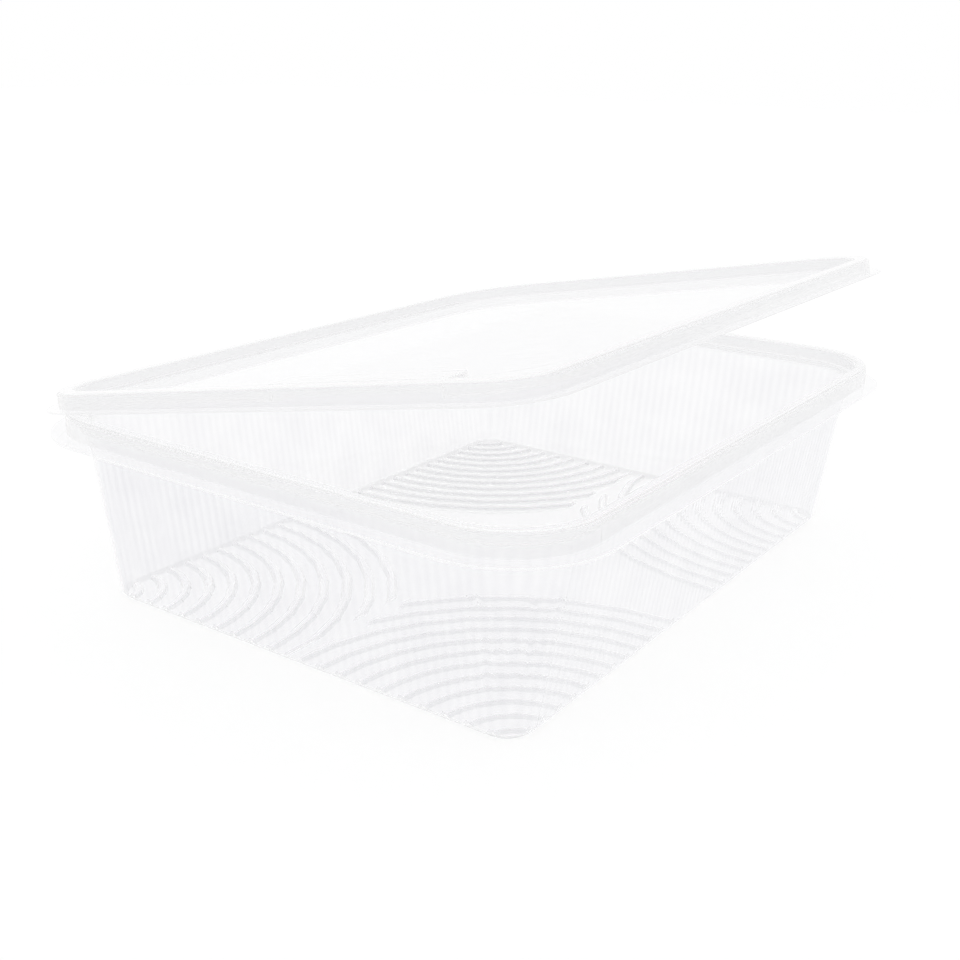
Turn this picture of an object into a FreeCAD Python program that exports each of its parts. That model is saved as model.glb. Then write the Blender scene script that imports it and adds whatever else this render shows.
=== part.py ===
"""Clear thermoformed clamshell pack: a ribbed tray and a hinged lid.

Frame: X runs along the hinge, the hinge is at the back (+Y), Z is up.
The origin is the middle of the floor's underside. Millimetres.

Every wall is one thin formed sheet: sections swept round rounded rectangles,
flat plates, and tray walls that flare from the floor's outline to the rim's,
whose corners are wider.
The lid is drawn closed and then turned open about the hinge line.
"""
import FreeCAD
import Part
import Sketcher
import math
import os
import re

SIZES = (
    # the formed sheet
    ("sheet_thickness", 0.4),
    # floor
    ("floor_length", 157.0),
    ("floor_width", 116.0),
    ("floor_corner_radius", 7.0),
    ("floor_bend", 1.5),
    # wall and the ledge below the rim
    ("tray_height", 46.5),
    ("wall_lean", 6.2),
    ("rim_corner_radius", 16.0),
    ("ledge_depth", 3.2),
    ("ledge_width", 1.6),
    # rim of the tray: a raised collar with a flange at its foot
    ("collar_width", 2.8),
    ("collar_height", 5.2),
    ("collar_bevel", 0.7),
    ("tray_flange_width", 3.4),
    # quarter rings pressed into the floor, round each of its corners
    ("ring_count", 12),
    ("ring_runs", 8),
    ("ring_first_radius", 7.0),
    ("ring_pitch", 5.5),
    ("ring_foot", 2.8),
    ("ring_crest", 1.2),
    ("ring_height", 0.9),
    ("ring_edge_gap", 1.8),
    ("ring_middle_gap", 2.0),
    # lid: a ridge that covers the collar, round a sunk panel
    ("lid_gap", 0.3),
    ("ridge_height", 3.6),
    ("panel_drop", 3.2),
    ("panel_bend", 0.9),
    ("panel_wall_lean", 0.7),
    ("lid_flange_width", 2.6),
    ("lid_tab_radius", 9.0),
    # press pad at the front left corner of the lid
    ("pad_length", 42.0),
    ("pad_width", 7.0),
    # living hinge
    ("hinge_length", 140.0),
    ("hinge_reach", 6.0),
    ("hinge_gap", 0.3),
    ("open_angle", 11.0),
)

doc = FreeCAD.newDocument("clamshell_pack")
sheet = doc.addObject("Spreadsheet::Sheet", "Sizes")
for row, (size_name, size_value) in enumerate(SIZES, start=1):
    sheet.set(f"A{row}", size_name)
    sheet.set(f"B{row}", str(size_value))
    sheet.setAlias(f"B{row}", size_name)
doc.recompute()


def linked(formula):
    """Turns the size names in a formula into references to the sheet."""
    return re.sub("|".join(rf"\b{size_name}\b" for size_name, _ in SIZES), r"Sizes.\g<0>", formula)


def size(name):
    """A driving dimension's number, read from the sheet."""
    return float(sheet.get(name))


# Offsets outward from the floor's outline, and levels above the floor's underside
RIM_CORNER = "(rim_corner_radius - wall_lean)"
LEDGE_TOP = "(tray_height - ledge_depth)"
LEDGE_UNDER = f"({LEDGE_TOP} - sheet_thickness)"
FLANGE_TOP = "(tray_height - collar_height)"
LIP_IN = "(wall_lean - sheet_thickness + ledge_width)"
LIP_OUT = f"({LIP_IN} + collar_width)"
RIDGE_TOP = "(tray_height + lid_gap + sheet_thickness)"
LID_FLANGE_TOP = f"({RIDGE_TOP} - ridge_height)"
PANEL_TOP = f"({RIDGE_TOP} - panel_drop)"
PANEL_WALL = f"({LIP_IN} - lid_gap - sheet_thickness)"
PANEL_EDGE = f"({PANEL_WALL} - panel_wall_lean)"
RIDGE_OUT = f"({LIP_OUT} + lid_gap + sheet_thickness)"
HINGE_Y = f"(floor_width / 2 + {LIP_OUT} + tray_flange_width + hinge_reach)"
HINGE_RADIUS = f"(({LID_FLANGE_TOP} - hinge_gap - {FLANGE_TOP}) / 2)"
HINGE_Z = f"({FLANGE_TOP} - sheet_thickness + {HINGE_RADIUS})"


def origin_plane(body, role):
    """One of the body's own origin planes, found by its role."""
    return next(f for f in body.Origin.OriginFeatures if f.Role == role)


def add_sketch(body, name, role, lift=None):
    """A sketch on one of the body's origin planes, moved along its normal by lift."""
    sketch = body.newObject("Sketcher::SketchObject", name)
    sketch.AttachmentSupport = (origin_plane(body, role), [""])
    sketch.MapMode = "FlatFace"
    if lift:
        sketch.setExpression("AttachmentOffset.Base.z", linked(lift))
    return sketch


def add_polygon(sketch, corners):
    """A closed polygon whose corners are pairs of formulas, each bound to the sheet."""
    first = sketch.GeometryCount
    count = len(corners)
    points = []
    for across, up in corners:
        x_value = sketch.evalExpression(linked(across))
        y_value = sketch.evalExpression(linked(up))
        points.append(FreeCAD.Vector(float(x_value), float(y_value), 0))
    for i in range(count):
        sketch.addGeometry(Part.LineSegment(points[i], points[(i + 1) % count]))
    for i in range(count):
        following = (i + 1) % count
        constraint = Sketcher.Constraint("Coincident", first + i, 2, first + following, 1)
        sketch.addConstraint(constraint)
    for i, (across, up) in enumerate(corners):
        for kind, text, value in (("DistanceX", across, points[i].x), ("DistanceY", up, points[i].y)):
            index = sketch.addConstraint(Sketcher.Constraint(kind, -1, 1, first + i, 1, value))
            sketch.setExpression(f"Constraints[{index}]", linked(text))


def add_rectangle(sketch, left, right, front, back):
    """A rectangle whose four sides are formulas, each bound to the sheet."""
    add_polygon(sketch, [(left, front), (right, front), (right, back), (left, back)])


def add_outline(sketch, offset, radius, front_left=None):
    """The floor's rectangle, grown outward by the formula offset, with rounded corners.

    radius is the corners' formula, and front_left that of the front left one where it differs.
    """
    half_x = float(sketch.evalExpression(linked(f"floor_length / 2 + {offset}")))
    half_y = float(sketch.evalExpression(linked(f"floor_width / 2 + {offset}")))
    plain = float(sketch.evalExpression(linked(radius)))
    tab = float(sketch.evalExpression(linked(front_left or radius)))
    radii = (plain, plain, tab, plain)
    quarters = ((1, 1), (-1, 1), (-1, -1), (1, -1))
    centres = []
    for (side_x, side_y), corner in zip(quarters, radii):
        centres.append(FreeCAD.Vector(side_x * (half_x - corner), side_y * (half_y - corner), 0))
    sides = (
        (half_x, centres[3].y, half_x, centres[0].y),
        (centres[0].x, half_y, centres[1].x, half_y),
        (-half_x, centres[1].y, -half_x, centres[2].y),
        (centres[2].x, -half_y, centres[3].x, -half_y),
    )
    for start_x, start_y, end_x, end_y in sides:
        start = FreeCAD.Vector(start_x, start_y, 0)
        sketch.addGeometry(Part.LineSegment(start, FreeCAD.Vector(end_x, end_y, 0)))
    for quarter, (centre, corner) in enumerate(zip(centres, radii)):
        circle = Part.Circle(centre, FreeCAD.Vector(0, 0, 1), corner)
        start = quarter * math.pi / 2
        sketch.addGeometry(Part.ArcOfCircle(circle, start, start + math.pi / 2))
    for side in range(4):
        arc = 4 + side
        sketch.addConstraint(Sketcher.Constraint("Tangent", side, 2, arc, 1))
        sketch.addConstraint(Sketcher.Constraint("Tangent", arc, 2, (side + 1) % 4, 1))
    for side in (0, 2):
        sketch.addConstraint(Sketcher.Constraint("Vertical", side))
        sketch.addConstraint(Sketcher.Constraint("Horizontal", side + 1))
    for arc in (5, 7):
        sketch.addConstraint(Sketcher.Constraint("Equal", 4, arc))
    sketch.addConstraint(Sketcher.Constraint("Symmetric", 0, 1, 2, 1, -1, 1))
    bound = (
        ("Radius", (4,), plain, radius),
        ("Radius", (6,), tab, front_left or radius),
        ("DistanceX", (-1, 1, 0, 1), half_x, f"floor_length / 2 + {offset}"),
        ("DistanceY", (-1, 1, 1, 1), half_y, f"floor_width / 2 + {offset}"),
    )
    for kind, points, value, formula in bound:
        index = sketch.addConstraint(Sketcher.Constraint(kind, *points, value))
        sketch.setExpression(f"Constraints[{index}]", linked(formula))


def add_swept_section(body, name, corners, *outline):
    """A closed sheet section, drawn at the +X side, swept round an outline."""
    path = add_sketch(body, f"{name}_path", "XY_Plane")
    add_outline(path, *outline)
    section = add_sketch(body, f"{name}_section", "XZ_Plane")
    add_polygon(section, [(f"floor_length / 2 + {across}", up) for across, up in corners])
    doc.recompute()
    pipe = body.newObject("PartDesign::AdditivePipe", name)
    pipe.Profile = section
    pipe.Spine = (path, [f"Edge{i + 1}" for i in range(path.GeometryCount)])
    doc.recompute()


def add_plate(body, name, underside, *outline):
    """A flat plate inside an outline, one sheet thick."""
    sketch = add_sketch(body, f"{name}_outline", "XY_Plane", underside)
    add_outline(sketch, *outline)
    pad = body.newObject("PartDesign::Pad", name)
    pad.Profile = sketch
    pad.setExpression("Length", linked("sheet_thickness"))
    doc.recompute()


def cut_upward(body, name, sketch, depth):
    """A pocket that cuts from its sketch upward."""
    pocket = body.newObject("PartDesign::Pocket", name)
    pocket.Profile = sketch
    pocket.Reversed = True
    pocket.setExpression("Length", linked(depth))
    doc.recompute()


def add_flare(body, name, kind, inset):
    """A straight-sided loft from the floor's outline to the rim's, drawn in by inset."""
    foot = add_sketch(body, f"{name}_foot", "XY_Plane", "floor_bend")
    add_outline(foot, f"(0 - {inset})", f"floor_corner_radius - {inset}")
    head = add_sketch(body, f"{name}_head", "XY_Plane", LEDGE_UNDER)
    add_outline(head, f"(wall_lean - {inset})", f"rim_corner_radius - {inset}")
    doc.recompute()
    flare = body.newObject(kind, name)
    flare.Profile = foot
    flare.Sections = [head]
    flare.Ruled = True
    doc.recompute()


def floor_bend_section():
    """Corners of the bend between the floor plate and the walls."""
    return [
        ("(0 - floor_bend)", "sheet_thickness"),
        ("(0 - sheet_thickness)", "floor_bend"),
        ("0", "floor_bend"),
        ("(0 - floor_bend)", "0"),
    ]


def rim_section():
    """Corners of the tray's rim: along its upper side outward, then back below."""
    upper = [
        ("(wall_lean - sheet_thickness)", LEDGE_TOP),
        (LIP_IN, LEDGE_TOP),
        (LIP_IN, "tray_height - collar_bevel"),
        (f"{LIP_IN} + collar_bevel", "tray_height"),
        (f"{LIP_OUT} - collar_bevel", "tray_height"),
        (LIP_OUT, "tray_height - collar_bevel"),
        (LIP_OUT, FLANGE_TOP),
        (f"{LIP_OUT} + tray_flange_width", FLANGE_TOP),
    ]
    lower = [
        (f"{LIP_OUT} + tray_flange_width", f"{FLANGE_TOP} - sheet_thickness"),
        (f"{LIP_OUT} - sheet_thickness", f"{FLANGE_TOP} - sheet_thickness"),
        (f"{LIP_OUT} - sheet_thickness", "tray_height - collar_bevel"),
        (f"{LIP_OUT} - collar_bevel", "tray_height - sheet_thickness"),
        (f"{LIP_IN} + collar_bevel", "tray_height - sheet_thickness"),
        (f"{LIP_IN} + sheet_thickness", "tray_height - collar_bevel"),
        (f"{LIP_IN} + sheet_thickness", LEDGE_UNDER),
        ("(wall_lean - sheet_thickness)", LEDGE_UNDER),
    ]
    return upper + lower


def lid_inner_section():
    """Corners of the closed lid's bend and wall between its panel and its ridge."""
    underside = f"{PANEL_TOP} - sheet_thickness"
    plate_edge = f"{PANEL_EDGE} + sheet_thickness - panel_bend"
    return [
        (plate_edge, PANEL_TOP),
        (PANEL_EDGE, f"{underside} + panel_bend"),
        (PANEL_WALL, f"{RIDGE_TOP} - collar_bevel"),
        (f"{PANEL_WALL} + collar_bevel", RIDGE_TOP),
        (f"{PANEL_WALL} + collar_bevel", f"{RIDGE_TOP} - sheet_thickness"),
        (f"{PANEL_WALL} + sheet_thickness", f"{RIDGE_TOP} - collar_bevel"),
        (f"{PANEL_EDGE} + sheet_thickness", f"{underside} + panel_bend"),
        (plate_edge, underside),
    ]


def lid_outer_section():
    """Corners of the closed lid's outer wall and flange."""
    inside = f"{RIDGE_OUT} - sheet_thickness"
    return [
        (f"{RIDGE_OUT} - collar_bevel", RIDGE_TOP),
        (RIDGE_OUT, f"{RIDGE_TOP} - collar_bevel"),
        (RIDGE_OUT, LID_FLANGE_TOP),
        (f"{RIDGE_OUT} + lid_flange_width", LID_FLANGE_TOP),
        (f"{RIDGE_OUT} + lid_flange_width", f"{LID_FLANGE_TOP} - sheet_thickness"),
        (inside, f"{LID_FLANGE_TOP} - sheet_thickness"),
        (inside, f"{RIDGE_TOP} - collar_bevel"),
        (f"{RIDGE_OUT} - collar_bevel", f"{RIDGE_TOP} - sheet_thickness"),
    ]


def add_leaf(body, name, inner_edge, underside):
    """A hinge leaf: a plate from a piece's flange back to the hinge line."""
    outline = add_sketch(body, f"{name}_outline", "XY_Plane", underside)
    add_rectangle(outline, "(0 - hinge_length / 2)", "hinge_length / 2", inner_edge, HINGE_Y)
    pad = body.newObject("PartDesign::Pad", name)
    pad.Profile = outline
    pad.setExpression("Length", linked("sheet_thickness"))
    doc.recompute()


def add_half_round(body):
    """The half-round fold of the sheet behind the hinge line, open to the front."""
    section = add_sketch(body, "hinge_fold_section", "YZ_Plane", "0 - hinge_length / 2")
    inner_radius = f"{HINGE_RADIUS} - sheet_thickness"
    axis_y = float(section.evalExpression(linked(HINGE_Y)))
    axis_z = float(section.evalExpression(linked(HINGE_Z)))
    outer = float(section.evalExpression(linked(HINGE_RADIUS)))
    inner = float(section.evalExpression(linked(inner_radius)))
    vector = FreeCAD.Vector
    for radius in (outer, inner):
        circle = Part.Circle(vector(axis_y, axis_z, 0), vector(0, 0, 1), radius)
        section.addGeometry(Part.ArcOfCircle(circle, -math.pi / 2, math.pi / 2))
    for start, end in ((outer, inner), (-inner, -outer)):
        start_point = vector(axis_y, axis_z + start, 0)
        end_point = vector(axis_y, axis_z + end, 0)
        section.addGeometry(Part.LineSegment(start_point, end_point))
    for join in ((0, 3, 1, 3), (0, 2, 2, 1), (2, 2, 1, 2), (1, 1, 3, 1), (3, 2, 0, 1)):
        section.addConstraint(Sketcher.Constraint("Coincident", *join))
    section.addConstraint(Sketcher.Constraint("Vertical", 2))
    section.addConstraint(Sketcher.Constraint("Vertical", 3))
    bound = (
        ("DistanceX", (-1, 1, 0, 3), axis_y, HINGE_Y),
        ("DistanceY", (-1, 1, 0, 3), axis_z, HINGE_Z),
        ("DistanceX", (-1, 1, 0, 1), axis_y, HINGE_Y),
        ("DistanceX", (-1, 1, 0, 2), axis_y, HINGE_Y),
        ("Radius", (0,), outer, HINGE_RADIUS),
        ("Radius", (1,), inner, inner_radius),
    )
    for kind, points, number, formula in bound:
        index = section.addConstraint(Sketcher.Constraint(kind, *points, number))
        section.setExpression(f"Constraints[{index}]", linked(formula))
    fold = body.newObject("PartDesign::Pad", "hinge_fold")
    fold.Profile = section
    fold.setExpression("Length", linked("hinge_length"))
    doc.recompute()


def add_press_pad(body):
    """A hollow pad at the front left, level with the ridge and open into its channel."""
    underside = f"{PANEL_TOP} - sheet_thickness"
    left = f"(0 - floor_length / 2 - {PANEL_WALL})"
    right = f"{left} + pad_width"
    front = f"({RIM_CORNER} - floor_width / 2)"
    back = f"{front} + pad_length"
    outline = add_sketch(body, "press_pad_outline", "XY_Plane", underside)
    add_rectangle(outline, left, right, front, back)
    pad = body.newObject("PartDesign::Pad", "press_pad")
    pad.Profile = outline
    pad.setExpression("Length", linked("panel_drop + sheet_thickness"))
    doc.recompute()
    hollow = add_sketch(body, "press_pad_hollow_outline", "XY_Plane", underside)
    add_rectangle(
        hollow,
        f"{left} - sheet_thickness",
        f"{right} - sheet_thickness",
        f"{front} + sheet_thickness",
        f"{back} - sheet_thickness",
    )
    cut_upward(body, "press_pad_hollow", hollow, "panel_drop")


def ring_solid(radius, foot_level, crest_level, inset):
    """A quarter ring of straight runs round the front left floor corner.

    Its section is a trapezoid, narrowed by inset on each flank.
    """
    half_foot = size("ring_foot") / 2 - inset
    half_crest = size("ring_crest") / 2 - inset / 2
    section = (
        (radius - half_foot, foot_level),
        (radius + half_foot, foot_level),
        (radius + half_crest, crest_level),
        (radius - half_crest, crest_level),
    )
    centre = FreeCAD.Vector(-size("floor_length") / 2, -size("floor_width") / 2, 0)
    runs = int(size("ring_runs"))
    loops = []
    for step in range(runs + 1):
        angle = math.pi / 2 * step / runs
        across = FreeCAD.Vector(math.cos(angle), math.sin(angle), 0)
        loops.append([centre + across * reach + FreeCAD.Vector(0, 0, level) for reach, level in section])
    outlines = [loops[0], loops[-1]]
    for near, far in zip(loops, loops[1:]):
        for i in range(4):
            following = (i + 1) % 4
            outlines.append([near[i], near[following], far[following], far[i]])
    faces = [Part.Face(Part.makePolygon(outline + [outline[0]])) for outline in outlines]
    return Part.Solid(Part.Shell(faces))


def ring_quarter(name, foot_level, crest_level, inset):
    """All rings of one floor corner, cut square where they meet the wall and the middle."""
    rings = doc.addObject("Part::Feature", f"{name}_rings")
    solids = []
    for index in range(int(size("ring_count"))):
        radius = size("ring_first_radius") + index * size("ring_pitch")
        solids.append(ring_solid(radius, foot_level, crest_level, inset))
    rings.Shape = Part.makeCompound(solids)
    zone = doc.addObject("Part::Box", f"{name}_zone")
    zone.setExpression("Length", linked("floor_length / 2 - ring_edge_gap - ring_middle_gap"))
    zone.setExpression("Width", linked("floor_width / 2 - ring_edge_gap - ring_middle_gap"))
    zone.setExpression("Height", linked("tray_height"))
    zone.setExpression("Placement.Base.x", linked("ring_edge_gap - floor_length / 2"))
    zone.setExpression("Placement.Base.y", linked("ring_edge_gap - floor_width / 2"))
    zone.setExpression("Placement.Base.z", linked("0 - tray_height / 2"))
    quarter = doc.addObject("Part::Common", f"{name}_quarter")
    quarter.Base = rings
    quarter.Tool = zone
    doc.recompute()
    return quarter


def mirrored(source, name, normal):
    """A mirror image of source across the plane through the origin."""
    mirror = doc.addObject("Part::Mirroring", name)
    mirror.Source = source
    mirror.Normal = FreeCAD.Vector(*normal)
    return mirror


def four_corners(quarter, name):
    """The quarter and its three mirror images, one for each floor corner."""
    right = mirrored(quarter, f"{name}_right", (1, 0, 0))
    front = doc.addObject("Part::Compound", f"{name}_front")
    front.Links = [quarter, right]
    back = mirrored(front, f"{name}_back", (0, 1, 0))
    every = doc.addObject("Part::Compound", f"{name}_all")
    every.Links = [front, back]
    doc.recompute()
    return every


def make_tray():
    """Tray: flared walls, swept rim, floor plate, hinge fold, and the floor's rings."""
    body = doc.addObject("PartDesign::Body", "tray_shell")
    add_flare(body, "wall_outside", "PartDesign::AdditiveLoft", "0")
    add_flare(body, "wall_inside", "PartDesign::SubtractiveLoft", "sheet_thickness")
    add_swept_section(body, "tray_bend", floor_bend_section(), "0", "floor_corner_radius")
    add_plate(body, "tray_floor", "0", "(0 - floor_bend)", "floor_corner_radius - floor_bend")
    add_swept_section(body, "tray_rim", rim_section(), "wall_lean", "rim_corner_radius")
    add_leaf(body, "tray_leaf", f"floor_width / 2 + {LIP_OUT}", f"{FLANGE_TOP} - sheet_thickness")
    add_half_round(body)
    thickness = size("sheet_thickness")
    rise = size("ring_height")
    ridges = ring_quarter("ridge", thickness / 2, thickness + rise, 0)
    hollows = ring_quarter("hollow", -thickness / 2, rise, thickness)
    raised = doc.addObject("Part::Fuse", "tray_raised")
    raised.Base = body
    raised.Tool = four_corners(ridges, "ridges")
    tray = doc.addObject("Part::Cut", "tray")
    tray.Base = raised
    tray.Tool = four_corners(hollows, "hollows")
    tray.Label = "tray"
    return tray


def make_lid():
    """Lid: swept ridge and flange, sunk panel, hinge leaf and press pad, turned open."""
    body = doc.addObject("PartDesign::Body", "lid")
    body.Label = "lid"
    underside = f"{RIDGE_TOP} - sheet_thickness"
    outer = f"{RIDGE_OUT} - collar_bevel"
    ridge_outline = (outer, f"{RIM_CORNER} + {outer}", "lid_tab_radius - collar_bevel")
    add_plate(body, "ridge_top", underside, *ridge_outline)
    inner = f"{PANEL_WALL} + collar_bevel"
    opening = add_sketch(body, "ridge_opening_outline", "XY_Plane", underside)
    add_outline(opening, inner, f"{RIM_CORNER} + {inner}")
    cut_upward(body, "ridge_opening", opening, "sheet_thickness")
    outer_path = (RIDGE_OUT, f"{RIM_CORNER} + {RIDGE_OUT}", "lid_tab_radius")
    add_swept_section(body, "lid_outer_wall", lid_outer_section(), *outer_path)
    inner_path = (PANEL_WALL, f"{RIM_CORNER} + {PANEL_WALL}")
    add_swept_section(body, "lid_inner_wall", lid_inner_section(), *inner_path)
    plate_edge = f"{PANEL_EDGE} + sheet_thickness - panel_bend"
    panel_outline = (plate_edge, f"{RIM_CORNER} + {plate_edge}")
    add_plate(body, "lid_panel", f"{PANEL_TOP} - sheet_thickness", *panel_outline)
    add_leaf(body, "lid_leaf", f"floor_width / 2 + {RIDGE_OUT}", f"{LID_FLANGE_TOP} - sheet_thickness")
    add_press_pad(body)
    hinge = linked(f"vector(0; {HINGE_Y}; {HINGE_Z})")
    turn = linked("rotation(vector(-1; 0; 0); open_angle)")
    body.setExpression("Placement", f"placement(vector(0; 0; 0); {turn}; {hinge})")
    return body


parts = {"tray": make_tray(), "lid": make_lid()}
doc.recompute()

for item in doc.Objects:
    if "Invalid" in item.State or "Error" in item.State:
        raise RuntimeError(f"{item.Name} failed: {item.State}")
for label, item in parts.items():
    if item.Shape.isNull() or not item.Shape.isValid():
        raise RuntimeError(f"{label} has no valid shape")

os.makedirs("parts", exist_ok=True)
for label, item in parts.items():
    shape = item.Shape
    shape.exportStep(f"parts/{label}.step")
    box = shape.BoundBox
    print(label, "solids", len(shape.Solids), "faces", len(shape.Faces))
    print("  volume", round(shape.Volume, 1))
    print("  from", round(box.XMin, 2), round(box.YMin, 2), round(box.ZMin, 2))
    print("  to", round(box.XMax, 2), round(box.YMax, 2), round(box.ZMax, 2))
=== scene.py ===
"""A clear thermoformed food pack with a ribbed floor and a shallow hinged lid, partly open.

Frame, in metres: X runs along the hinge, the hinge is at +Y, Z is up, and the
origin is the middle of the tray floor's underside.
"""
import math

import bpy
from mathutils import Matrix, Vector

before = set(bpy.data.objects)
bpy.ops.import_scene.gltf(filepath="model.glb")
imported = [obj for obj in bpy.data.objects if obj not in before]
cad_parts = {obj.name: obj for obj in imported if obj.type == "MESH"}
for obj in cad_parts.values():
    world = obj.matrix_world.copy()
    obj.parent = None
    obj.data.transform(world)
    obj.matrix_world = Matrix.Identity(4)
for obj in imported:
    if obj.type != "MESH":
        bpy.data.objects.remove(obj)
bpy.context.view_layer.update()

# Camera, from a fit to the photograph's edges
CAMERA_AZIMUTH = math.radians(-55.32)
CAMERA_ELEVATION = math.radians(19.13)
CAMERA_ROLL = math.radians(1.25)
CAMERA_DISTANCE = 0.3240
CAMERA_ACROSS = -0.00445
CAMERA_UP = 0.01871
CAMERA_NEAR = 0.01
CAMERA_FAR = 20.0
FOCAL_PIXELS = 1237.0
IMAGE_PIXELS = 960
SENSOR_WIDTH = 36.0

# Clear sheet
SHEET_IOR = 1.45
SHADOW_CLEARNESS = 0.97
CAUGHT_DEPTH = 3.5
CLEAR_LAYERS = 32
LEVEL_FACING = 0.85
SLOW_SCALE = 90.0
SLOW_DETAIL = 3.0
FINE_SCALE = 700.0
FINE_DETAIL = 2.0

# Inputs of the sheet's surface group: colours as tints, lengths in metres, shares from 0 to 1
SHEET_INPUTS = (
    ("Thin Tint", "NodeSocketColor", (0.975, 0.975, 0.98, 1)),
    ("Thick Tint", "NodeSocketColor", (0.89, 0.888, 0.905, 1)),
    # Painted shade: a darker tint on the rings' flanks, for the grey lines they show
    ("Ring Painted Shade", "NodeSocketColor", (0.86, 0.86, 0.87, 1)),
    ("Ring Top", "NodeSocketFloat", 0.00128),
    # Painted shade: a darker tint on the upright parts of the rims, for the grey bands they show
    ("Rim Painted Shade", "NodeSocketColor", (0.94, 0.94, 0.945, 1)),
    ("Rim Foot", "NodeSocketFloat", 0.0415),
    ("Flute Spacing", "NodeSocketFloat", 0.0024),
    ("Flute Share", "NodeSocketFloat", 0.14),
    # Painted light: level faces show only this share of the unevenness tint, so they stay lighter than
    # upright walls
    ("Level Painted Light Share", "NodeSocketFloat", 0.4),
    ("Haze", "NodeSocketFloat", 0.05),
    ("Bend Haze", "NodeSocketFloat", 0.16),
    ("Relief", "NodeSocketFloat", 0.00001),
)
SHEET_OUTPUTS = (
    ("Tint", "NodeSocketColor"),
    ("Roughness", "NodeSocketFloat"),
    ("Height", "NodeSocketFloat"),
)

# Floor and surroundings
WHITE = (1, 1, 1, 1)
FLOOR_COLOUR = (0.96, 0.96, 0.96, 1)
FLOOR_ROUGHNESS = 0.9
FLOOR_HALF = 3.0
FLOOR_LEVEL = -0.0002
FLOOR_LIFT = 0.06


def camera_axes():
    """The camera's right, up and back directions, turned by the roll."""
    back = Vector((
        math.sin(CAMERA_AZIMUTH) * math.cos(CAMERA_ELEVATION),
        -math.cos(CAMERA_AZIMUTH) * math.cos(CAMERA_ELEVATION),
        math.sin(CAMERA_ELEVATION),
    ))
    level = Vector((math.cos(CAMERA_AZIMUTH), math.sin(CAMERA_AZIMUTH), 0))
    upright = back.cross(level)
    right = level * math.cos(CAMERA_ROLL) + upright * math.sin(CAMERA_ROLL)
    up = upright * math.cos(CAMERA_ROLL) - level * math.sin(CAMERA_ROLL)
    return right, up, back


def make_camera():
    """The camera stands on its back direction from the frame's origin, shifted across and up."""
    data = bpy.data.cameras.new("camera")
    data.sensor_width = SENSOR_WIDTH
    data.lens = FOCAL_PIXELS / IMAGE_PIXELS * SENSOR_WIDTH
    data.clip_start = CAMERA_NEAR
    data.clip_end = CAMERA_FAR
    camera = bpy.data.objects.new("camera", data)
    bpy.context.scene.collection.objects.link(camera)
    right, up, back = camera_axes()
    place = right * CAMERA_ACROSS + up * CAMERA_UP + back * CAMERA_DISTANCE
    turn = Matrix((right, up, back)).transposed()
    camera.matrix_world = Matrix.Translation(place) @ turn.to_4x4()
    bpy.context.scene.camera = camera


make_camera()


def feed(tree, socket, source):
    """Sets a socket from another socket or from a constant."""
    if isinstance(source, bpy.types.NodeSocket):
        tree.links.new(source, socket)
    else:
        socket.default_value = source


def math_node(tree, operation, first, second=0.0, third=0.0):
    """One Math node; it gives back its result socket."""
    node = tree.nodes.new("ShaderNodeMath")
    node.operation = operation
    for socket, source in zip(node.inputs, (first, second, third)):
        feed(tree, socket, source)
    return node.outputs[0]


def noise_node(tree, place, scale, detail):
    """Soft noise in object coordinates, about 0.5 in the middle."""
    node = tree.nodes.new("ShaderNodeTexNoise")
    node.inputs["Scale"].default_value = scale
    node.inputs["Detail"].default_value = detail
    tree.links.new(place, node.inputs["Vector"])
    return node.outputs["Fac"]


def mix_colour(tree, share, first, second):
    """Mixes two colours by a share from 0 to 1."""
    node = tree.nodes.new("ShaderNodeMix")
    node.data_type = "RGBA"
    sockets = {socket.name: socket for socket in node.inputs if socket.enabled}
    for name, source in (("Factor", share), ("A", first), ("B", second)):
        feed(tree, sockets[name], source)
    return [socket for socket in node.outputs if socket.enabled][0]


def split_vector(tree, vector):
    """The X, Y and Z of a vector as three sockets."""
    node = tree.nodes.new("ShaderNodeSeparateXYZ")
    tree.links.new(vector, node.inputs[0])
    return node.outputs


def flute_wave(tree, along, facing, spacing):
    """A sine along one axis, weighted by how squarely the wall faces the other axis."""
    turns = math_node(tree, "DIVIDE", along, spacing)
    wave = math_node(tree, "SINE", math_node(tree, "MULTIPLY", turns, 2 * math.pi))
    return math_node(tree, "MULTIPLY", wave, math_node(tree, "ABSOLUTE", facing))


def flute_waves(tree, place, facing, spacing):
    """Upright flutes on all four walls."""
    front_back = flute_wave(tree, place["X"], facing["Y"], spacing)
    sides = flute_wave(tree, place["Y"], facing["X"], spacing)
    return math_node(tree, "ADD", front_back, sides)


def form_masks(tree, place, facing, given):
    """Masks of everything that isn't level, of the rings' flanks, and of the upright parts of the rims;
    the last two place painted shade and bend haze.
    """
    upright = math_node(tree, "LESS_THAN", math_node(tree, "ABSOLUTE", facing["Z"]), LEVEL_FACING)
    low = math_node(tree, "LESS_THAN", place["Z"], given["Ring Top"])
    high = math_node(tree, "GREATER_THAN", place["Z"], given["Rim Foot"])
    flank = math_node(tree, "MULTIPLY", upright, low)
    rim = math_node(tree, "MULTIPLY", upright, high)
    return upright, flank, rim


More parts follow.
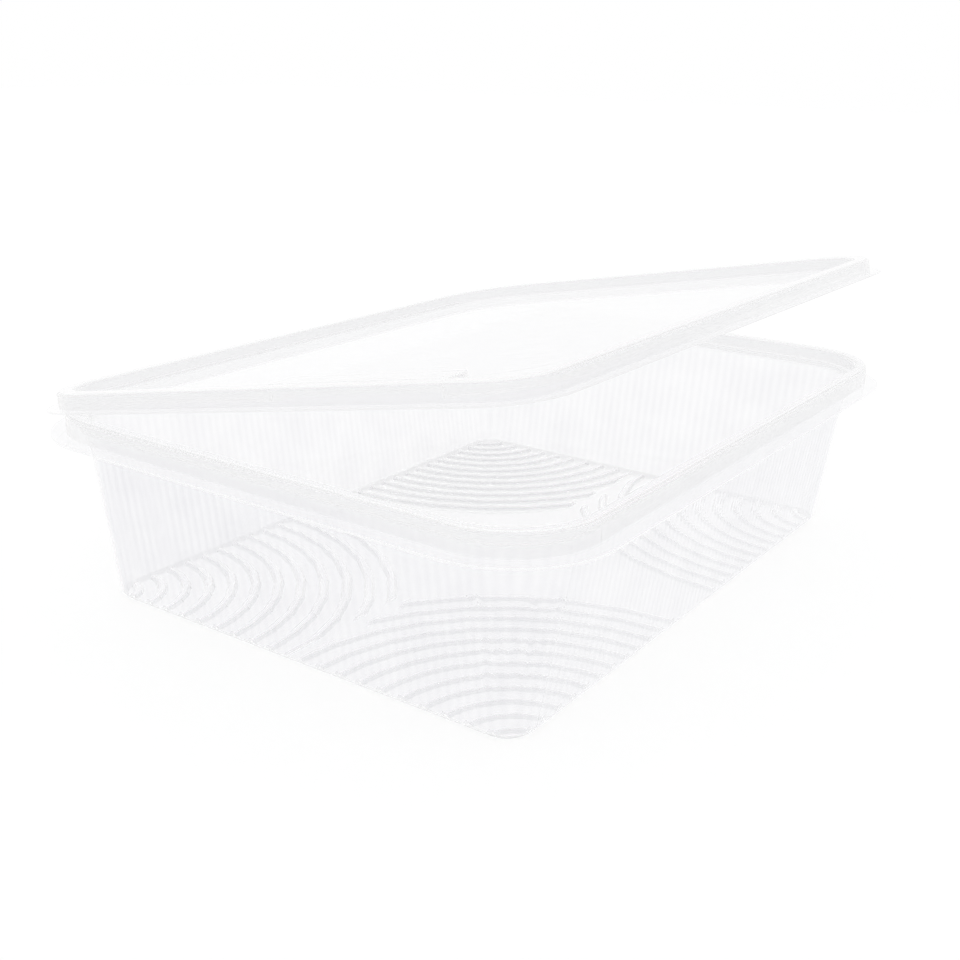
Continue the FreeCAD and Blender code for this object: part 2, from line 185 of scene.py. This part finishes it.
def sheet_tint_with_painted_light(tree, given, uneven, masks):
    """Tint by the sheet's unevenness, weakened on level faces as painted light that keeps them lighter
    than upright walls, then painted shade on ring flanks and rims.
    """
    upright, flank, rim = masks
    # Painted light: level faces get less of the unevenness tint than upright walls
    painted_facing_share = math_node(tree, "MAXIMUM", upright, given["Level Painted Light Share"])
    share = math_node(tree, "MULTIPLY", uneven, painted_facing_share)
    tint = mix_colour(tree, share, given["Thin Tint"], given["Thick Tint"])
    # Painted shade: the rings' flanks get a darker tint
    tint = mix_colour(tree, flank, tint, given["Ring Painted Shade"])
    # Painted shade: the upright parts of the rims get a darker tint
    return mix_colour(tree, rim, tint, given["Rim Painted Shade"])


def sheet_roughness(tree, given, fine, masks):
    """A fine haze everywhere, with more of it where the sheet was bent sharply."""
    flank, rim = masks[1:]
    haze = math_node(tree, "MULTIPLY", fine, given["Haze"])
    bends = math_node(tree, "MAXIMUM", flank, rim)
    return math_node(tree, "MULTIPLY_ADD", bends, given["Bend Haze"], haze)


def sheet_surface():
    """Group for formed sheet: flutes, slow unevenness and haze as tint, roughness and height; the tint
    also holds painted light on level faces and painted shade on ring flanks and rims.
    """
    group = bpy.data.node_groups.new("sheet_surface", "ShaderNodeTree")
    for name, kind, value in SHEET_INPUTS:
        group.interface.new_socket(name, in_out="INPUT", socket_type=kind).default_value = value
    for name, kind in SHEET_OUTPUTS:
        group.interface.new_socket(name, in_out="OUTPUT", socket_type=kind)
    given = group.nodes.new("NodeGroupInput").outputs
    result = group.nodes.new("NodeGroupOutput").inputs
    coordinate = group.nodes.new("ShaderNodeTexCoord").outputs
    place = split_vector(group, coordinate["Object"])
    facing = split_vector(group, coordinate["Normal"])
    flutes = flute_waves(group, place, facing, given["Flute Spacing"])
    slow = noise_node(group, coordinate["Object"], SLOW_SCALE, SLOW_DETAIL)
    fine = noise_node(group, coordinate["Object"], FINE_SCALE, FINE_DETAIL)
    uneven = math_node(group, "MULTIPLY_ADD", flutes, given["Flute Share"], slow)
    masks = form_masks(group, place, facing, given)
    feed(group, result["Tint"], sheet_tint_with_painted_light(group, given, uneven, masks))
    feed(group, result["Roughness"], sheet_roughness(group, given, fine, masks))
    feed(group, result["Height"], math_node(group, "MULTIPLY", uneven, given["Relief"]))
    return group


def shader_of(name):
    """A new material with its node tree and its Principled shader."""
    material = bpy.data.materials.new(name)
    material.use_nodes = True
    tree = material.node_tree
    return material, tree, tree.nodes["Principled BSDF"]


def solid_share(tree):
    """How solid the sheet is to a ray: nearly clear for shadows and dull light, clear for caught light."""
    path = tree.nodes.new("ShaderNodeLightPath").outputs
    soft = math_node(tree, "MAXIMUM", path["Is Shadow Ray"], path["Is Diffuse Ray"])
    passed = math_node(tree, "MULTIPLY", soft, SHADOW_CLEARNESS)
    caught = math_node(tree, "GREATER_THAN", path["Ray Depth"], CAUGHT_DEPTH)
    return math_node(tree, "SUBTRACT", 1.0, math_node(tree, "MAXIMUM", passed, caught))


def clear_sheet():
    """Clear sheet with true refraction. Shadows pass through it, and so does light caught inside it."""
    material, tree, shader = shader_of("clear_sheet")
    shader.inputs["IOR"].default_value = SHEET_IOR
    shader.inputs["Transmission Weight"].default_value = 1.0
    surface = tree.nodes.new("ShaderNodeGroup")
    surface.node_tree = sheet_surface()
    bump = tree.nodes.new("ShaderNodeBump")
    bump.inputs["Distance"].default_value = 1.0
    feed(tree, bump.inputs["Height"], surface.outputs["Height"])
    # The tint brings the sheet's own unevenness together with painted light and painted shade into the
    # base colour
    feed(tree, shader.inputs["Base Color"], surface.outputs["Tint"])
    feed(tree, shader.inputs["Roughness"], surface.outputs["Roughness"])
    feed(tree, shader.inputs["Normal"], bump.outputs["Normal"])
    feed(tree, shader.inputs["Alpha"], solid_share(tree))
    return material


def floor_material():
    """Dull white that shows as full white where nothing shades it, also through the clear sheet."""
    material, tree, shader = shader_of("floor_white")
    shader.inputs["Base Color"].default_value = FLOOR_COLOUR
    shader.inputs["Roughness"].default_value = FLOOR_ROUGHNESS
    shader.inputs["Emission Color"].default_value = WHITE
    path = tree.nodes.new("ShaderNodeLightPath").outputs
    seen = math_node(tree, "MAXIMUM", path["Is Camera Ray"], path["Is Glossy Ray"])
    seen = math_node(tree, "MAXIMUM", seen, path["Is Transmission Ray"])
    feed(tree, shader.inputs["Emission Strength"], math_node(tree, "MULTIPLY", seen, FLOOR_LIFT))
    return material


def make_floor():
    """A wide pale floor that the pack stands on."""
    mesh = bpy.data.meshes.new("floor")
    signs = ((-1, -1), (1, -1), (1, 1), (-1, 1))
    corners = [(x * FLOOR_HALF, y * FLOOR_HALF, FLOOR_LEVEL) for x, y in signs]
    mesh.from_pydata(corners, [], [(0, 1, 2, 3)])
    mesh.materials.append(floor_material())
    floor = bpy.data.objects.new("floor", mesh)
    bpy.context.scene.collection.objects.link(floor)


def make_surroundings():
    """Even white surroundings."""
    world = bpy.data.worlds.new("surroundings")
    world.use_nodes = True
    background = world.node_tree.nodes["Background"]
    background.inputs["Color"].default_value = WHITE
    background.inputs["Strength"].default_value = 1.0
    bpy.context.scene.world = world
    bpy.context.scene.view_settings.view_transform = "Standard"


def pass_clear_layers():
    """Lets a ray go through many clear layers, since the closed pack has more than the default eight."""
    bpy.context.scene.cycles.transparent_max_bounces = CLEAR_LAYERS


sheet_material = clear_sheet()
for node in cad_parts.values():
    node.data.materials.clear()
    node.data.materials.append(sheet_material)
make_floor()
make_surroundings()
pass_clear_layers()
